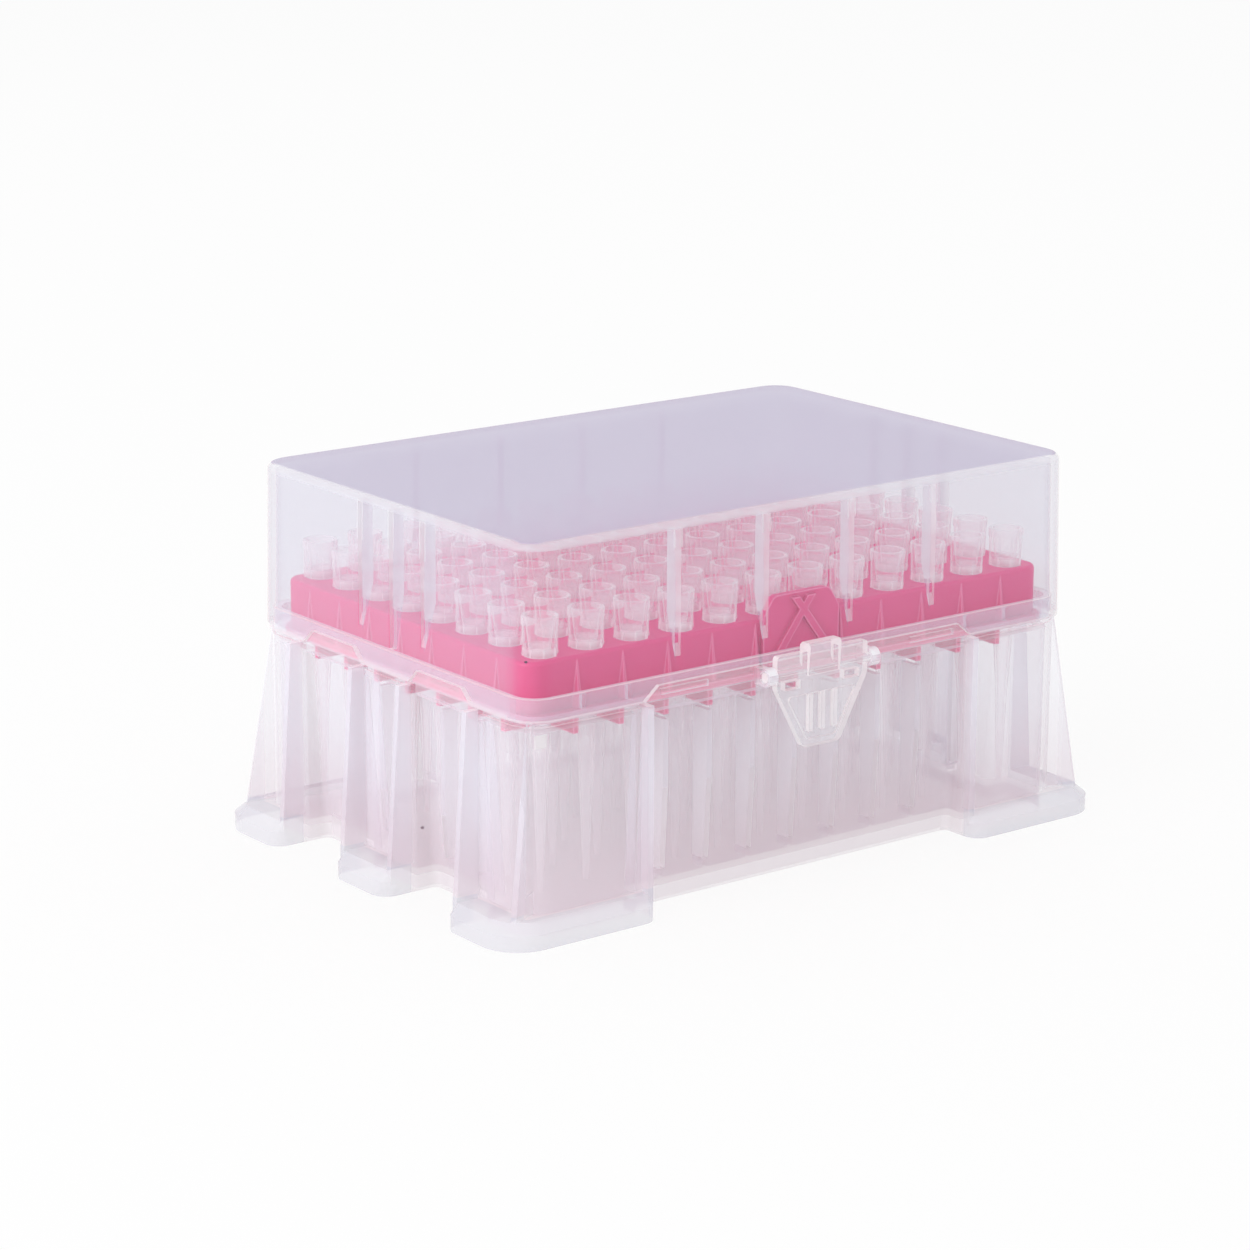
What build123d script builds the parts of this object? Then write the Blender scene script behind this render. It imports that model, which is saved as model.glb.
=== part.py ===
"""Box of pipette tips: clear hinged lid, pink tip rack, 96 filter tips, milky footed base.

Millimetres, +Z up, feet on z = 0. X runs along the long side, the latch is on the -Y side.
"""

from build123d import *
import os

# ---- driving dimensions -------------------------------------------------------------
# Half sizes are given as (half length in X, half width in Y).
PITCH = 9.0  # tip spacing both ways
COLUMNS = 12
ROWS = 8
COLUMN_X = [(i - (COLUMNS - 1) / 2) * PITCH for i in range(COLUMNS)]
ROW_Y = [(j - (ROWS - 1) / 2) * PITCH for j in range(ROWS)]

# Base
FOOT_HALF = (63.88, 42.74)  # plate footprint at the feet
FOOT_BAND = 2.6  # upright edge of a foot
FOOT_TOP = 4.2  # top of the sloped ledge of a foot
FOOT_LEDGE = 2.0  # how far the ledge draws in
FOOT_CORNER_R = 7.0
FOOT_END_R = 3.0
LEG_OUT = 0.5  # how far the leg faces stand out from the rim band
RECESS_LOW = (52.9, 34.9)  # recessed walls at the floor
RECESS_HIGH = (55.4, 36.9)  # recessed walls at the shoulder
LEG_X = 34.0  # inner side of a corner leg along X
LEG_Y = 25.0  # inner side of a corner leg along Y
MID_LEG_Y = 7.5  # half width of the middle side leg
NOOK_R = 1.2  # hollow corner between a leg and a recessed wall
PLATE = 1.2  # end plates of the legs
PLATE_Y = 40.8  # outer edge of the end plates on the long sides
PLATE_X_LOW = 62.0  # outer edge of the end plates on the short sides, at the foot
PLATE_X_HIGH = 59.9  # the same under the lid
PLATE_TOP = 35.2
FIN = 1.0  # diagonal corner fins
SHOULDER_Z = 34.5
BASE_WALL = 1.2
FLOOR_Z = 2.2  # underside of the floor
FLOOR = 1.2
RIM_TOP = 38.8
RIM_HALF = (56.8, 38.3)
RIM_R = 5.0
LEDGE_HALF = (54.2, 35.7)  # opening inside the rack ledge
BASE_RIB_X = [k * PITCH for k in range(-3, 4)]  # stiffening ribs behind the long walls
BASE_RIB_Y = [k * PITCH for k in (-2, -1, 1, 2)]
BASE_RIB_TOP = 30.4
RIB = 1.0
RIM_RIB = 0.8

# Rack
RACK_GAP = 0.1  # seat clearance under the rack flange
RACK_FLANGE_HALF = (55.2, 36.7)
RACK_HALF = (54.6, 35.2)
RACK_WALL = 1.2
DECK_TOP = 44.0
DECK = 1.5
RACK_R = 3.0
HOLE_R = 2.5
LATTICE_LOW = 31.2  # lower edge of the lattice ribs
LATTICE_HALF = (53.5, 34.9)
WEDGE_TOP = 43.3
WEDGE_OUT = 1.0
WEDGE_HALF = 1.5  # half width of a wedge rib at its foot
TAB_TOP = 47.7
TAB_FACE = 36.7
TAB_HALF = 8.0
TAB_TOP_HALF = 5.8
TAB_SHOULDER = 44.4
BRACE = 1.7  # width of a crossed brace on the tab
BRACE_LOW = 36.4
BRACE_TOP = 47.0

# Tips and filters
TIP_SEAT = 0.05  # clearance between collar foot and deck
TIP_TOP = 50.5
TIP_LOW = 5.2
TIP_OUTER = [(0.45, TIP_LOW), (1.1, 22.0), (1.6, 30.0), (2.15, DECK_TOP + TIP_SEAT)]
TIP_INNER = [(0.2, TIP_LOW), (0.7, 22.0), (1.15, 30.0), (1.7, DECK_TOP + TIP_SEAT)]
COLLAR_LOW_R = 2.7
COLLAR_TOP_R = 2.9
MOUTH_R = 2.4
FILTER_LOW = 36.0
FILTER_TOP = 42.0
FILTER_GAP = 0.06

# Lid
LID_LOW = 35.5
LID_TOP = 63.9
LID_LOW_HALF = (57.9, 39.4)
LID_TOP_HALF = (57.5, 39.0)
LID_R = 5.5
LID_EDGE_R = 1.4
LIP_GAP = 0.25  # between the lid lip and the base rim
SEAT_GAP = 0.1  # between the lid step and the rim top
SEAT_Z = RIM_TOP + SEAT_GAP
LID_IN_LOW = (56.45, 38.0)
LID_IN_TOP = (56.1, 37.65)
LID_ROOF = 1.4
NOTCH_Z = 37.8
NOTCH_X = (34.6, 31.9)  # half length of the long side notch at the edge and at its top
SIDE_NOTCH_LOW = (6.8, 24.2)
SIDE_NOTCH_HIGH = (9.2, 21.8)
LID_RIB = 1.2
LID_RIB_DEPTH = 2.4
LID_RIB_LOW = 48.5
LID_SPIKE_LOW = 40.5
LID_RIB_X = [-3 * PITCH, -PITCH, PITCH, 3 * PITCH]
LID_RIB_Y = [-PITCH, 0.0, PITCH]

# Hinge and latch pins
PIN_R = 0.8
PIN_GAP = 0.3  # round a pin
SIDE_GAP = 0.4  # beside a knuckle
HINGE_Y, HINGE_Z = 40.6, 34.4
HINGE_X = 24.0
KNUCKLE = 5.0
BARREL_R = 1.4
EAR = 1.8
EAR_R = 1.9
LATCH_Y, LATCH_Z = -40.9, 36.0
LATCH_EAR_R = 1.55
LATCH_HALF = 9.6
LATCH_BACK, LATCH_FACE = -40.4, -41.6
LATCH_TOP, LATCH_MID, LATCH_LOW = 39.2, 33.6, 23.0
LATCH_LOW_HALF = 3.8
HOOK_HALF = 3.3
HOOK_TOP = 40.6
HOOK_BACK = -39.7


def between(low, high, z, z_low=0.0, z_high=SHOULDER_Z):
    """Value at height z on a straight line from low at z_low to high at z_high."""
    return low + (high - low) * (z - z_low) / (z_high - z_low)


def base_outline(z, inset=0.0):
    """Quarter corners (x, y, radius) of the footed wall outline at height z."""
    lx, ly = (half + LEG_OUT - inset for half in RIM_HALF)
    rx, ry = (between(a, b, z) - inset for a, b in zip(RECESS_LOW, RECESS_HIGH))
    sx, sy, my = LEG_X + inset, LEG_Y + inset, MID_LEG_Y - inset
    return [(sx, ry, NOOK_R), (sx, ly, 0), (lx, ly, RIM_R + LEG_OUT - inset), (lx, sy, 0),
            (rx, sy, NOOK_R), (rx, my, NOOK_R), (lx, my, 0)]


def around(quarter):
    """All corners of an outline that is the same in its four quarters, in order."""
    back = [(x, y, r) for x, y, r in quarter]
    right = back + [(x, -y, r) for x, y, r in reversed(back)]
    return right + [(-x, y, r) for x, y, r in reversed(right)]


def spots(corners):
    """The points of an outline, without their radii."""
    return [(x, y) for x, y, _ in corners]


def radii(corners):
    """The corner radii of an outline, in the order of its points."""
    return [r for _, _, r in corners]


# ---- base ---------------------------------------------------------------------------
FLOOR_TOP = FLOOR_Z + FLOOR
LEG_ROOF = SHOULDER_Z - BASE_WALL

with BuildPart() as base:
    # footed outer walls
    for z in (0.0, SHOULDER_Z):
        corners = around(base_outline(z))
        with BuildSketch(Plane.XY.offset(z)):
            with BuildLine():
                FilletPolyline(spots(corners), radius=radii(corners), close=True)
            make_face()
    loft(ruled=True)
    # corner feet: upright band, then a sloped ledge
    for sx in (-1, 1):
        for sy in (-1, 1):
            for z0, z1, inset in ((0.0, FOOT_BAND, 0.0), (FOOT_BAND, FOOT_TOP, FOOT_LEDGE)):
                for z, cut in ((z0, 0.0), (z1, inset)):
                    x0, x1 = LEG_X, FOOT_HALF[0] - cut
                    y0, y1 = LEG_Y, FOOT_HALF[1] - cut
                    end_r = FOOT_END_R - cut / 2
                    with BuildSketch(Plane.XY.offset(z)):
                        with BuildLine():
                            FilletPolyline([(sx * x0, sy * y0), (sx * x0, sy * y1),
                                            (sx * x1, sy * y1), (sx * x1, sy * y0)],
                                           radius=[0, end_r, FOOT_CORNER_R - cut, end_r],
                                           close=True)
                        make_face()
                loft(ruled=True)
        # middle side feet
        for z0, z1, inset in ((0.0, FOOT_BAND, 0.0), (FOOT_BAND, FOOT_TOP, FOOT_LEDGE)):
            for z, cut in ((z0, 0.0), (z1, inset)):
                x0, x1 = RECESS_LOW[0] - 1.0, FOOT_HALF[0] - cut
                end_r = FOOT_END_R - cut / 2
                with BuildSketch(Plane.XY.offset(z)):
                    with BuildLine():
                        FilletPolyline([(sx * x0, -MID_LEG_Y), (sx * x1, -MID_LEG_Y),
                                        (sx * x1, MID_LEG_Y), (sx * x0, MID_LEG_Y)],
                                       radius=[0, end_r, end_r, 0], close=True)
                    make_face()
            loft(ruled=True)
    # rim band
    with BuildSketch(Plane.XY.offset(LEG_ROOF)):
        RectangleRounded(2 * RIM_HALF[0], 2 * RIM_HALF[1], RIM_R)
    extrude(amount=RIM_TOP - LEG_ROOF)
    # end plates that stand out at both ends of each corner leg and of each middle leg
    for sx in (-1, 1):
        for sy in (-1, 1):
            with Locations((sx * (LEG_X + PLATE / 2), sy * (PLATE_Y + RECESS_LOW[1]) / 2,
                            (PLATE_TOP + FLOOR_Z) / 2)):
                Box(PLATE, PLATE_Y - RECESS_LOW[1], PLATE_TOP - FLOOR_Z)
            for y in (LEG_Y + PLATE / 2, MID_LEG_Y - PLATE / 2):
                with BuildSketch(Plane.XZ.offset(-sy * y)):
                    with BuildLine():
                        Polyline([(sx * RECESS_LOW[0], FLOOR_Z), (sx * PLATE_X_LOW, FLOOR_Z),
                                  (sx * PLATE_X_LOW, FOOT_TOP), (sx * PLATE_X_HIGH, PLATE_TOP),
                                  (sx * RECESS_LOW[0], PLATE_TOP)], close=True)
                    make_face()
                extrude(amount=PLATE / 2, both=True)
    # diagonal fins from the wall corners down to the foot corners
    bend = 1 - 0.5 ** 0.5
    wall_x, wall_y = (half + LEG_OUT - (RIM_R + LEG_OUT) * bend for half in RIM_HALF)
    toe_x, toe_y = (half - FOOT_LEDGE - (FOOT_CORNER_R - FOOT_LEDGE) * bend
                    for half in FOOT_HALF)
    fin_reach = ((toe_x - wall_x) ** 2 + (toe_y - wall_y) ** 2) ** 0.5
    for sx in (-1, 1):
        for sy in (-1, 1):
            out = (sx * (toe_x - wall_x) / fin_reach, sy * (toe_y - wall_y) / fin_reach, 0)
            with BuildSketch(Plane(origin=(sx * wall_x, sy * wall_y, 0), x_dir=out,
                                   z_dir=(out[1], -out[0], 0))):
                with BuildLine():
                    Polyline([(-1.0, FLOOR_Z), (fin_reach, FLOOR_Z),
                              (fin_reach, FOOT_TOP), (0.1, PLATE_TOP), (-1.0, PLATE_TOP)],
                             close=True)
                make_face()
            extrude(amount=FIN / 2, both=True)
    # hollow above the floor, reaching into the legs, and a shallow one under the floor
    for z_low, z_high in ((FLOOR_TOP, LEG_ROOF), (0.0, FLOOR_Z)):
        for z in (z_low, z_high):
            corners = around(base_outline(z, BASE_WALL))
            with BuildSketch(Plane.XY.offset(z)):
                with BuildLine():
                    FilletPolyline(spots(corners), radius=radii(corners), close=True)
                make_face()
        loft(ruled=True, mode=Mode.SUBTRACT)
    # opening through the shoulder, then the wider rim above the rack ledge
    with BuildSketch(Plane.XY.offset(LEG_ROOF)):
        RectangleRounded(2 * LEDGE_HALF[0], 2 * LEDGE_HALF[1], RIM_R - 2.0)
    extrude(amount=RIM_TOP - LEG_ROOF, mode=Mode.SUBTRACT)
    with BuildSketch(Plane.XY.offset(SHOULDER_Z)):
        RectangleRounded(2 * (RIM_HALF[0] - BASE_WALL), 2 * (RIM_HALF[1] - BASE_WALL),
                         RIM_R - BASE_WALL)
    extrude(amount=RIM_TOP - SHOULDER_Z, mode=Mode.SUBTRACT)
    # stiffening ribs inside the walls
    for side in (-1, 1):
        for x in BASE_RIB_X:
            with Locations((x, side * 33.0, (FLOOR_Z + BASE_RIB_TOP) / 2)):
                Box(RIB, 3.6, BASE_RIB_TOP - FLOOR_Z)
        for y in BASE_RIB_Y:
            with Locations((side * 51.3, y, (FLOOR_Z + BASE_RIB_TOP) / 2)):
                Box(2.6, RIB, BASE_RIB_TOP - FLOOR_Z)
    # small ribs inside the rim, over the rack flange
    for side in (-1, 1):
        for x in (-5 * PITCH, -4 * PITCH, 4 * PITCH, 5 * PITCH):
            with Locations((x, side * (RIM_HALF[1] - BASE_WALL - 0.2), 37.0)):
                Box(RIM_RIB, 1.2, 2.4)
    # raised bars on the band inside the long side notches
    for side in (-1, 1):
        for x in (-26.3, 26.3):
            if side < 0:
                with Locations((x, -RIM_HALF[1] - 0.2, 36.5)):
                    Box(9.6, 0.8, 1.0)
    # latch ears
    ear_mid = LATCH_HALF + SIDE_GAP + EAR / 2
    for side in (-1, 1):
        with BuildSketch(Plane.YZ.offset(side * ear_mid)):
            with BuildLine():
                Polyline([(-37.9, 34.6), (-37.9, 37.3), (LATCH_Y, 37.3), (LATCH_Y, 34.6)],
                         close=True)
            make_face()
            with Locations((LATCH_Y, LATCH_Z)):
                Circle(LATCH_EAR_R)
                Circle(PIN_R + PIN_GAP, mode=Mode.SUBTRACT)
        extrude(amount=EAR / 2, both=True)
    # hinge ears
    for x in (-HINGE_X, HINGE_X):
        for side in (-1, 1):
            with BuildSketch(Plane.YZ.offset(x + side * (KNUCKLE / 2 + SIDE_GAP + EAR / 2))):
                with BuildLine():
                    Polyline([(36.4, 30.6), (36.4, 34.0), (37.6, 35.6), (HINGE_Y, HINGE_Z + EAR_R),
                              (HINGE_Y, HINGE_Z - EAR_R)], close=True)
                make_face()
                with Locations((HINGE_Y, HINGE_Z)):
                    Circle(EAR_R)
                    Circle(PIN_R + PIN_GAP, mode=Mode.SUBTRACT)
            extrude(amount=EAR / 2, both=True)

# ---- rack ---------------------------------------------------------------------------
FLANGE_LOW = SHOULDER_Z + RACK_GAP

with BuildPart() as rack:
    with BuildSketch(Plane.XY.offset(FLANGE_LOW)):
        RectangleRounded(2 * RACK_HALF[0], 2 * RACK_HALF[1], RACK_R)
    extrude(amount=DECK_TOP - FLANGE_LOW)
    top_edges = rack.faces().sort_by(Axis.Z)[-1].edges()
    fillet(top_edges, 0.7)
    # flange that sits on the base ledge
    with BuildSketch(Plane.XY.offset(FLANGE_LOW)):
        RectangleRounded(2 * RACK_FLANGE_HALF[0], 2 * RACK_FLANGE_HALF[1], RIM_R - BASE_WALL)
    extrude(amount=1.0)
    # hollow under the deck
    with BuildSketch(Plane.XY.offset(FLANGE_LOW)):
        RectangleRounded(2 * (RACK_HALF[0] - RACK_WALL), 2 * (RACK_HALF[1] - RACK_WALL),
                         RACK_R - RACK_WALL)
    extrude(amount=DECK_TOP - DECK - FLANGE_LOW, mode=Mode.SUBTRACT)
    # lattice ribs between the tips
    lattice_z = (LATTICE_LOW + DECK_TOP - DECK + 0.5) / 2
    lattice_tall = DECK_TOP - DECK + 0.5 - LATTICE_LOW
    for k in range(1, COLUMNS):
        with Locations((COLUMN_X[k] - PITCH / 2, 0, lattice_z)):
            Box(RIB, 2 * LATTICE_HALF[1], lattice_tall)
    for k in range(1, ROWS):
        with Locations((0, ROW_Y[k] - PITCH / 2, lattice_z)):
            Box(2 * LATTICE_HALF[0], RIB, lattice_tall)
    # fine wedge ribs on the outside of the walls
    for side in (-1, 1):
        for k in range(1, COLUMNS):
            x = COLUMN_X[k] - PITCH / 2
            for z, half, out in ((FLANGE_LOW, WEDGE_HALF, WEDGE_OUT), (WEDGE_TOP, 0.2, 0.05)):
                with BuildSketch(Plane.XY.offset(z)):
                    with BuildLine():
                        Polyline([(x - half, side * (RACK_HALF[1] - 0.3)),
                                  (x + half, side * (RACK_HALF[1] - 0.3)),
                                  (x + half / 5, side * (RACK_HALF[1] + out)),
                                  (x - half / 5, side * (RACK_HALF[1] + out))], close=True)
                    make_face()
            loft(ruled=True)
        for k in range(1, ROWS):
            y = ROW_Y[k] - PITCH / 2
            for z, half, out in ((FLANGE_LOW, WEDGE_HALF, WEDGE_OUT), (WEDGE_TOP, 0.2, 0.05)):
                with BuildSketch(Plane.XY.offset(z)):
                    with BuildLine():
                        Polyline([(side * (RACK_HALF[0] - 0.3), y - half),
                                  (side * (RACK_HALF[0] - 0.3), y + half),
                                  (side * (RACK_HALF[0] + out), y + half / 5),
                                  (side * (RACK_HALF[0] + out), y - half / 5)], close=True)
                    make_face()
            loft(ruled=True)
    # front tab with crossed braces
    tab_plane = Plane(origin=(0, -RACK_HALF[1] + 0.4, 0), x_dir=(1, 0, 0), z_dir=(0, -1, 0))
    with BuildSketch(tab_plane):
        with BuildLine():
            FilletPolyline([(-TAB_HALF, FLANGE_LOW), (-TAB_HALF, TAB_SHOULDER),
                            (-TAB_TOP_HALF, TAB_TOP), (TAB_TOP_HALF, TAB_TOP),
                            (TAB_HALF, TAB_SHOULDER), (TAB_HALF, FLANGE_LOW)],
                           radius=[0, 1.2, 1.6, 1.6, 1.2, 0], close=True)
        make_face()
    extrude(amount=TAB_FACE - RACK_HALF[1] + 0.4 - 0.6)
    for side in (-1, 1):
        with BuildSketch(tab_plane.offset(TAB_FACE - RACK_HALF[1] + 0.4 - 0.8)):
            with BuildLine():
                Polyline([(side * 7.2, BRACE_LOW), (side * (7.2 - BRACE), BRACE_LOW),
                          (-side * (0.8 + BRACE), BRACE_TOP), (-side * 0.8, BRACE_TOP)],
                         close=True)
            make_face()
        extrude(amount=0.8)
    # a hole for each tip
    with BuildSketch(Plane.XY.offset(DECK_TOP)):
        with GridLocations(PITCH, PITCH, COLUMNS, ROWS):
            Circle(HOLE_R)
    extrude(amount=-DECK - 0.1, mode=Mode.SUBTRACT)

# ---- tips and filters ---------------------------------------------------------------
def bore_at(z):
    """Bore radius of a tip at height z, below the deck."""
    for (r0, z0), (r1, z1) in zip(TIP_INNER, TIP_INNER[1:]):
        if z <= z1:
            return between(r0, r1, z, z0, z1)
    return TIP_INNER[-1][0]


SEAT_TOP = DECK_TOP + TIP_SEAT

tip_columns, filter_columns = [], []
for x in COLUMN_X:
    with BuildPart() as tips:
        for y in ROW_Y:
            with BuildSketch(Plane(origin=(x, y, 0), x_dir=(1, 0, 0), z_dir=(0, -1, 0))):
                with BuildLine():
                    Polyline(TIP_OUTER + [(COLLAR_LOW_R, SEAT_TOP), (COLLAR_TOP_R, TIP_TOP),
                                          (MOUTH_R, TIP_TOP)] + TIP_INNER[::-1], close=True)
                make_face()
            revolve(axis=Axis((x, y, 0), (0, 0, 1)))
    tip_columns.append(tips)
    with BuildPart() as filters:
        for y in ROW_Y:
            with BuildSketch(Plane(origin=(x, y, 0), x_dir=(1, 0, 0), z_dir=(0, -1, 0))):
                with BuildLine():
                    Polyline([(0, FILTER_LOW), (bore_at(FILTER_LOW) - FILTER_GAP, FILTER_LOW),
                              (bore_at(FILTER_TOP) - FILTER_GAP, FILTER_TOP), (0, FILTER_TOP)],
                             close=True)
                make_face()
            revolve(axis=Axis((x, y, 0), (0, 0, 1)))
    filter_columns.append(filters)

# ---- lid ----------------------------------------------------------------------------
LIP_HALF = [half + LIP_GAP for half in RIM_HALF]


def lid_wall(z, axis):
    """Outer half size of the lid at height z."""
    return between(LID_LOW_HALF[axis], LID_TOP_HALF[axis], z, LID_LOW, LID_TOP)


with BuildPart() as lid:
    for z, (hx, hy) in ((LID_LOW, LID_LOW_HALF), (LID_TOP, LID_TOP_HALF)):
        with BuildSketch(Plane.XY.offset(z)):
            RectangleRounded(2 * hx, 2 * hy, LID_R)
    loft(ruled=True)
    fillet(lid.faces().sort_by(Axis.Z)[-1].edges(), LID_EDGE_R)
    # inside of the lid above the step, then the lip that goes over the base rim
    for z, (hx, hy) in ((SEAT_Z, LID_IN_LOW), (LID_TOP - LID_ROOF, LID_IN_TOP)):
        with BuildSketch(Plane.XY.offset(z)):
            RectangleRounded(2 * hx, 2 * hy, LID_R - LID_ROOF)
    loft(ruled=True, mode=Mode.SUBTRACT)
    with BuildSketch(Plane.XY.offset(LID_LOW)):
        RectangleRounded(2 * LIP_HALF[0], 2 * LIP_HALF[1], RIM_R + LIP_GAP)
    extrude(amount=SEAT_Z - LID_LOW, mode=Mode.SUBTRACT)
    # long notches front and back, two short ones in each side
    for side in (-1, 1):
        with BuildSketch(Plane.XZ.offset(-side * (LIP_HALF[1] - 0.6))):
            with BuildLine():
                Polyline([(-NOTCH_X[0], LID_LOW), (-NOTCH_X[1], NOTCH_Z), (NOTCH_X[1], NOTCH_Z),
                          (NOTCH_X[0], LID_LOW)], close=True)
            make_face()
        extrude(amount=-side * 3.0, mode=Mode.SUBTRACT)
        for turn in (-1, 1):
            with BuildSketch(Plane.YZ.offset(side * (LIP_HALF[0] - 0.6))):
                with BuildLine():
                    Polyline([(turn * SIDE_NOTCH_LOW[0], LID_LOW),
                              (turn * SIDE_NOTCH_HIGH[0], NOTCH_Z),
                              (turn * SIDE_NOTCH_HIGH[1], NOTCH_Z),
                              (turn * SIDE_NOTCH_LOW[1], LID_LOW)], close=True)
                make_face()
            extrude(amount=side * 3.0, mode=Mode.SUBTRACT)
    # ribs inside the walls, each ending in a thin spike
    rib_top = LID_TOP - LID_ROOF + 0.5
    for side in (-1, 1):
        for x in LID_RIB_X:
            root = LID_IN_LOW[1] + 0.5
            with BuildSketch(Plane.YZ.offset(x)):
                with BuildLine():
                    Polyline([(side * root, rib_top), (side * root, LID_SPIKE_LOW),
                              (side * LID_IN_LOW[1], LID_SPIKE_LOW),
                              (side * (LID_IN_LOW[1] - LID_RIB_DEPTH), LID_RIB_LOW),
                              (side * (LID_IN_LOW[1] - LID_RIB_DEPTH), rib_top)], close=True)
                make_face()
            extrude(amount=LID_RIB / 2, both=True)
        for y in LID_RIB_Y:
            root = LID_IN_LOW[0] + 0.5
            low = LID_SPIKE_LOW if y else SEAT_Z + 0.3
            with BuildSketch(Plane.XZ.offset(-y)):
                with BuildLine():
                    Polyline([(side * root, rib_top), (side * root, low),
                              (side * (LID_IN_LOW[0] - (0 if y else 0.8)), low),
                              (side * (LID_IN_LOW[0] - LID_RIB_DEPTH), LID_RIB_LOW),
                              (side * (LID_IN_LOW[0] - LID_RIB_DEPTH), rib_top)], close=True)
                make_face()
            extrude(amount=LID_RIB / 2, both=True)
    # hinge knuckles behind the back wall
    for x in (-HINGE_X, HINGE_X):
        with BuildSketch(Plane.YZ.offset(x)):
            with BuildLine():
                Polyline([(LIP_HALF[1] + 0.4, NOTCH_Z + 0.6), (LIP_HALF[1] + 0.4, NOTCH_Z + 3.4),
                          (HINGE_Y + BARREL_R, NOTCH_Z + 0.6), (HINGE_Y + BARREL_R, HINGE_Z),
                          (HINGE_Y - BARREL_R / 2, HINGE_Z)], close=True)
            make_face()
            with Locations((HINGE_Y, HINGE_Z)):
                Circle(BARREL_R)
        extrude(amount=KNUCKLE / 2, both=True)
        with BuildSketch(Plane.YZ.offset(x)):
            with Locations((HINGE_Y, HINGE_Z)):
                Circle(PIN_R)
        extrude(amount=KNUCKLE / 2 + SIDE_GAP + EAR * 0.9, both=True)

# ---- latch --------------------------------------------------------------------------
with BuildPart() as latch:
    latch_plane = Plane(origin=(0, LATCH_BACK, 0), x_dir=(1, 0, 0), z_dir=(0, -1, 0))
    with BuildSketch(latch_plane):
        with BuildLine():
            FilletPolyline([(-LATCH_HALF, LATCH_TOP), (-LATCH_HALF, LATCH_MID),
                            (-LATCH_LOW_HALF, LATCH_LOW), (LATCH_LOW_HALF, LATCH_LOW),
                            (LATCH_HALF, LATCH_MID), (LATCH_HALF, LATCH_TOP)],
                           radius=[0.6, 2.0, 1.2, 1.2, 2.0, 0.6], close=True)
        make_face()
    extrude(amount=LATCH_BACK - LATCH_FACE)
    # recessed panel below, small windows and slots above
    with BuildSketch(latch_plane.offset(LATCH_BACK - LATCH_FACE)):
        with BuildLine():
            FilletPolyline([(-7.4, 32.0), (-3.0, 24.3), (3.0, 24.3), (7.4, 32.0)],
                           radius=[0.6, 0.8, 0.8, 0.6], close=True)
        make_face()
    extrude(amount=-0.5, mode=Mode.SUBTRACT)
    with BuildSketch(latch_plane):
        for side in (-1, 1):
            with Locations((side * 6.3, 34.0)):
                Rectangle(3.2, 1.4)
    extrude(amount=LATCH_BACK - LATCH_FACE, mode=Mode.SUBTRACT)
    with BuildSketch(latch_plane.offset(LATCH_BACK - LATCH_FACE - 0.5)):
        for x in (-2.6, 0.0, 2.6):
            with Locations((x, 28.9)):
                Rectangle(0.8, 6.4)
    extrude(amount=0.8)
    # hook block over the lower edge of the lid
    with BuildSketch(Plane.YZ.offset(-HOOK_HALF)):
        with BuildLine():
            Polyline([(LATCH_BACK - 0.3, 35.2), (HOOK_BACK, 37.2), (HOOK_BACK, HOOK_TOP - 0.6),
                      (HOOK_BACK - 0.6, HOOK_TOP), (LATCH_FACE - 0.4, HOOK_TOP),
                      (LATCH_FACE - 0.8, HOOK_TOP - 0.6), (LATCH_FACE - 0.4, 35.2)], close=True)
        make_face()
    extrude(amount=2 * HOOK_HALF)
    # pins
    with BuildSketch(Plane.YZ):
        with Locations((LATCH_Y, LATCH_Z)):
            Circle(PIN_R)
    extrude(amount=LATCH_HALF + SIDE_GAP + EAR * 0.9, both=True)

# ---- labels and files ---------------------------------------------------------------
os.makedirs("parts", exist_ok=True)
base.part.label = "base"
export_step(base.part, "parts/base.step")
rack.part.label = "rack"
export_step(rack.part, "parts/rack.step")
lid.part.label = "lid"
export_step(lid.part, "parts/lid.step")
latch.part.label = "latch"
export_step(latch.part, "parts/latch.step")
for k, (tips, filters) in enumerate(zip(tip_columns, filter_columns), 1):
    tips.part.label = f"tips_column_{k:02d}"
    export_step(tips.part, f"parts/tips_column_{k:02d}.step")
    filters.part.label = f"filters_column_{k:02d}"
    export_step(filters.part, f"parts/filters_column_{k:02d}.step")
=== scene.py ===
"""Looks and stage for a box of pipette tips: clear lid, pink rack, filter tips and milky base."""

import math

import bpy
from bpy.props import FloatProperty, FloatVectorProperty, IntProperty, PointerProperty
from mathutils import Matrix, Vector


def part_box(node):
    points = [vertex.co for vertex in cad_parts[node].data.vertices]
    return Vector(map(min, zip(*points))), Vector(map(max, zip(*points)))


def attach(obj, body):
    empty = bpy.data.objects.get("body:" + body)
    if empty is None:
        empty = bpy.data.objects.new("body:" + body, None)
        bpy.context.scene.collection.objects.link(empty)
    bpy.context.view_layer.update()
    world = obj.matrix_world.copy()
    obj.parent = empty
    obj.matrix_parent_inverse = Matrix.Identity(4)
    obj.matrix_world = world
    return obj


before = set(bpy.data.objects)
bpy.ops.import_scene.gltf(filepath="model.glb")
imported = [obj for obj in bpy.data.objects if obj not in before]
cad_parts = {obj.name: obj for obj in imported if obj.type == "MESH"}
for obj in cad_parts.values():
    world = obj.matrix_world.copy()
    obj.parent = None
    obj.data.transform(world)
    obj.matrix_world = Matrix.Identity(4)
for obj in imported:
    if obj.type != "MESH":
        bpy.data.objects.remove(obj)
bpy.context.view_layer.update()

bl_info = {
    "name": "Pipette tip box",
    "version": (1, 0, 0),
    "blender": (4, 5, 0),
    "location": "View3D > Sidebar > Tip box",
    "description": "Finishes, small details and stage for a clear box of pipette tips",
    "category": "Object",
}

MM = 0.001  # one millimetre, the unit that the lengths below are written in

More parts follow.
